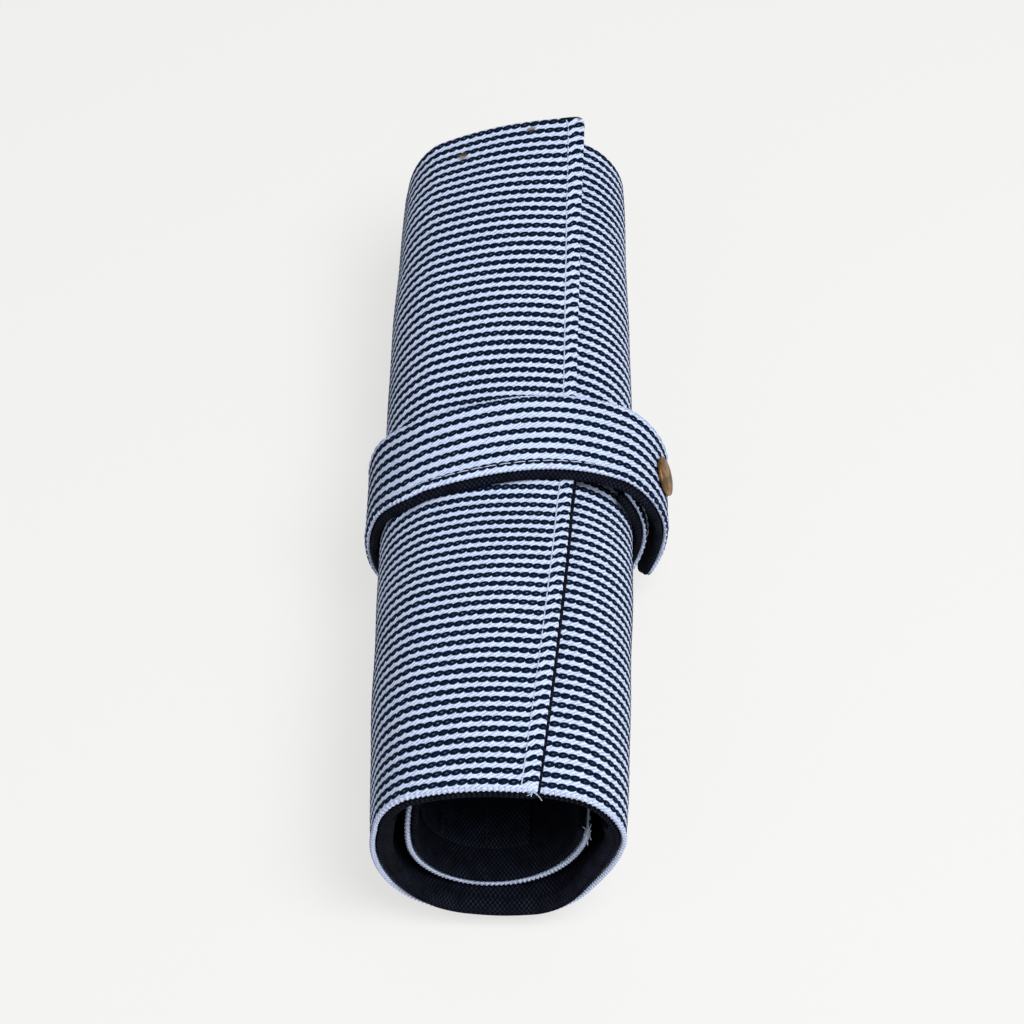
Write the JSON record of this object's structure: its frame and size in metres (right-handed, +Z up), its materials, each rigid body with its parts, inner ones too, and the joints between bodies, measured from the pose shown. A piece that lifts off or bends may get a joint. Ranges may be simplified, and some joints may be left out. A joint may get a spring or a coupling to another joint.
{
  "type": "roll pencil case",
  "caption": "Cloth roll-up pencil case with a lined, pocketed mat rolled into a tube and a wrap-round strap closed by a magnetic button.",
  "frame": {"origin": "on the flat underside of the strap where the case lies on a table, midway along the roll", "axes": "+Z up, +Y along the roll from the end near the viewer to the far end, +X to the side where the strap closes"},
  "size_m": [0.0769, 0.2122, 0.0644],
  "materials": {
    "striped_cloth": "woven cotton with fine dark blue stripes",
    "canvas": "ribbed dark blue canvas",
    "brass": "antiqued",
    "steel": "plain plated"
  },
  "bodies": {
    "base": {"shell_base": "striped_cloth", "lining_base": "canvas", "strap_face_base": "striped_cloth", "strap_lining_base": "canvas"},
    "outer_1": {"shell_outer_1": "striped_cloth", "lining_outer_1": "canvas", "strap_face_outer_1": "striped_cloth", "strap_lining_outer_1": "canvas"},
    "outer_2": {"shell_outer_2": "striped_cloth", "lining_outer_2": "canvas", "strap_face_outer_2": "striped_cloth", "strap_lining_outer_2": "canvas"},
    "outer_3": {"shell_outer_3": "striped_cloth", "lining_outer_3": "canvas", "strap_face_outer_3": "striped_cloth", "strap_lining_outer_3": "canvas"},
    "outer_4": {"shell_flap": "striped_cloth", "lining_flap": "canvas", "strap_face_outer_4": "striped_cloth", "strap_lining_outer_4": "canvas"},
    "shoulder": {"strap_face_shoulder": "striped_cloth", "strap_lining_shoulder": "canvas"},
    "tab": {"strap_face_tab": "striped_cloth", "strap_lining_tab": "canvas", "button_cap": "brass", "button_disc": "steel"},
    "inner_1": {"shell_inner_1": "striped_cloth", "lining_inner_1": "canvas", "strap_face_inner_1": "striped_cloth", "strap_lining_inner_1": "canvas"},
    "inner_2": {"shell_inner_2": "striped_cloth", "lining_inner_2": "canvas", "strap_face_inner_2": "striped_cloth", "strap_lining_inner_2": "canvas"},
    "inner_3": {"shell_inner_3": "striped_cloth", "lining_inner_3": "canvas", "pocket_3": "canvas", "strap_face_short_end": "striped_cloth", "strap_lining_short_end": "canvas", "magnet_disc": "steel", "magnet_back": "steel"},
    "inner_4": {"shell_inner_4": "striped_cloth", "lining_inner_4": "canvas", "pocket_4": "canvas"},
    "inner_5": {"shell_inner_5": "striped_cloth", "lining_inner_5": "canvas", "pocket_5": "canvas"},
    "inner_6": {"shell_inner_6": "striped_cloth", "lining_inner_6": "canvas", "pocket_6": "canvas"},
    "inner_7": {"shell_inner_7": "striped_cloth", "lining_inner_7": "canvas", "pocket_7": "canvas"},
    "inner_8": {"shell_inner_8": "striped_cloth", "lining_inner_8": "canvas"}
  },
  "joints": [
    {"name": "inner_1_bend", "type": "hinge", "parent": "base", "child": "inner_1", "pos_m": [0.0085, 0, 0], "axis": [0, 1, 0], "range_deg": [0, 25]},
    {"name": "inner_2_bend", "type": "hinge", "parent": "inner_1", "child": "inner_2", "pos_m": [0.02757, 0, 0.0089], "axis": [0, 1, 0], "range_deg": [0, 36]},
    {"name": "inner_3_bend", "type": "hinge", "parent": "inner_2", "child": "inner_3", "pos_m": [0.03473, 0, 0.0316], "axis": [0, 1, 0], "range_deg": [0, 57.5]},
    {"name": "inner_4_bend", "type": "hinge", "parent": "inner_3", "child": "inner_4", "pos_m": [0.01736, 0, 0.05353], "axis": [0, 1, 0], "range_deg": [0, 47.5]},
    {"name": "inner_5_bend", "type": "hinge", "parent": "inner_4", "child": "inner_5", "pos_m": [-0.00912, 0, 0.05487], "axis": [0, 1, 0], "range_deg": [0, 45]},
    {"name": "inner_6_bend", "type": "hinge", "parent": "inner_5", "child": "inner_6", "pos_m": [-0.02425, 0, 0.03635], "axis": [0, 1, 0], "range_deg": [0, 62.5]},
    {"name": "inner_7_bend", "type": "hinge", "parent": "inner_6", "child": "inner_7", "pos_m": [-0.01767, 0, 0.01442], "axis": [0, 1, 0], "range_deg": [0, 65]},
    {"name": "inner_8_bend", "type": "hinge", "parent": "inner_7", "child": "inner_8", "pos_m": [0.00831, 0, 0.00984], "axis": [0, 1, 0], "range_deg": [0, 66]},
    {"name": "outer_1_bend", "type": "hinge", "parent": "base", "child": "outer_1", "pos_m": [-0.0085, 0, 0], "axis": [0, -1, 0], "range_deg": [0, 10]},
    {"name": "outer_2_bend", "type": "hinge", "parent": "outer_1", "child": "outer_2", "pos_m": [-0.02757, 0, 0.0089], "axis": [0, -1, 0], "range_deg": [0, 55]},
    {"name": "outer_3_bend", "type": "hinge", "parent": "outer_2", "child": "outer_3", "pos_m": [-0.03363, 0, 0.04326], "axis": [0, -1, 0], "range_deg": [0, 55]},
    {"name": "outer_4_bend", "type": "hinge", "parent": "outer_3", "child": "outer_4", "pos_m": [-0.02109, 0, 0.05674], "axis": [0, -1, 0], "range_deg": [0, 44.75]},
    {"name": "shoulder_bend", "type": "hinge", "parent": "outer_4", "child": "shoulder", "pos_m": [0.00891, 0, 0.05866], "axis": [0, -1, 0], "range_deg": [0, 75]},
    {"name": "tab_hinge", "type": "hinge", "parent": "shoulder", "child": "tab", "pos_m": [0.02686, 0, 0.0523], "axis": [0, -1, 0], "range_deg": [0, 120]}
  ],
  "couplings": [
    {"joint": "inner_2_bend", "follows": "inner_1_bend", "ratio": 1.44},
    {"joint": "inner_3_bend", "follows": "inner_1_bend", "ratio": 2.3},
    {"joint": "inner_4_bend", "follows": "inner_1_bend", "ratio": 1.9},
    {"joint": "inner_5_bend", "follows": "inner_1_bend", "ratio": 1.8},
    {"joint": "inner_6_bend", "follows": "inner_1_bend", "ratio": 2.5},
    {"joint": "inner_7_bend", "follows": "inner_1_bend", "ratio": 2.6},
    {"joint": "inner_8_bend", "follows": "inner_1_bend", "ratio": 2.64},
    {"joint": "outer_1_bend", "follows": "inner_1_bend", "ratio": 0.4},
    {"joint": "outer_2_bend", "follows": "inner_1_bend", "ratio": 2.2},
    {"joint": "outer_3_bend", "follows": "inner_1_bend", "ratio": 2.2},
    {"joint": "outer_4_bend", "follows": "inner_1_bend", "ratio": 1.79},
    {"joint": "shoulder_bend", "follows": "inner_1_bend", "ratio": 3}
  ]
}
